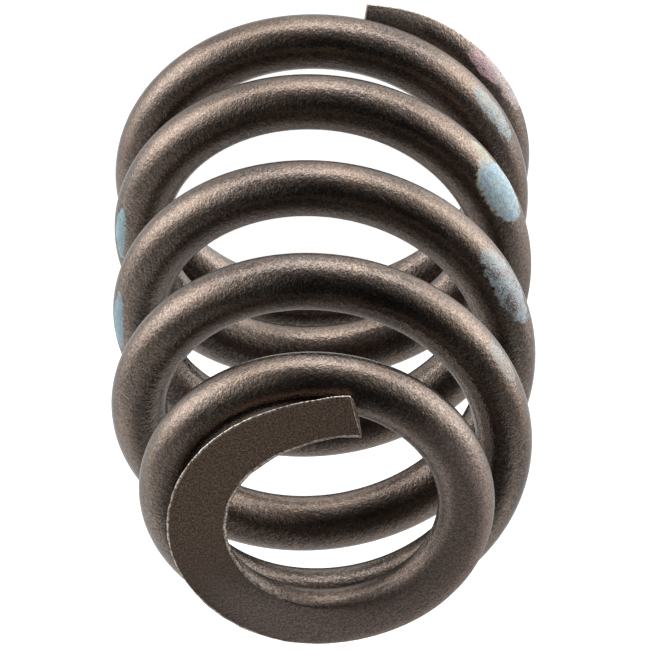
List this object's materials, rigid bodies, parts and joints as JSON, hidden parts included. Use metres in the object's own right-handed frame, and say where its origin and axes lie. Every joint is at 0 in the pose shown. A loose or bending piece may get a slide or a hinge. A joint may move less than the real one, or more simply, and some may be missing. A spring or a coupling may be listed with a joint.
{
  "type": "valve spring",
  "caption": "Beehive valve spring: a round-wire compression spring with a straight lower body, a small tapered top and closed, ground ends.",
  "frame": {"origin": "middle of the large ground end, at the height of its ground face", "axes": "+Z along the spring from the large end to the small end; both wire tips lie on the -Y side"},
  "size_m": [0.0324, 0.0322, 0.0453],
  "materials": {
    "spring_wire": "shot-peened, dark bronze-brown satin, with ground end faces and worn paint marks"
  },
  "bodies": {
    "root": {"valve_spring": "spring_wire"}
  },
  "joints": []
}
